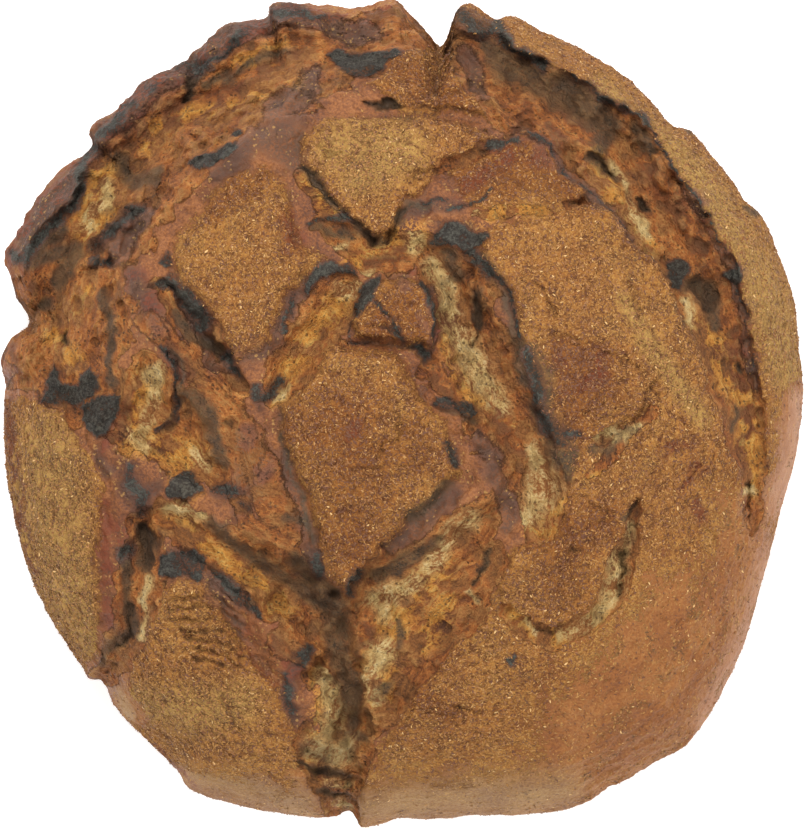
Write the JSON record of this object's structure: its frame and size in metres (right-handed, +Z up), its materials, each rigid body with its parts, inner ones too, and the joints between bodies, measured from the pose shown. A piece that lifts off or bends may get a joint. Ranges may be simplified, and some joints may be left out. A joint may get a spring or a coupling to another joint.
{
  "type": "bread loaf",
  "caption": "Round rustic country loaf with a bran-dusted crust torn into raised plates by deep cracks, resting on a flat base.",
  "frame": {"origin": "centre of the bounding box in plan, on the surface that the loaf rests on", "axes": "+Z up through the crown; seen from above, +X points to the right and +Y to the top of the loaf as it lies in the reference view"},
  "size_m": [0.2351, 0.2437, 0.0964],
  "materials": {
    "crust": "baked crust, matt where bran lies on it and softly shiny where it is bare"
  },
  "bodies": {
    "root": {"loaf": "crust"}
  },
  "joints": []
}
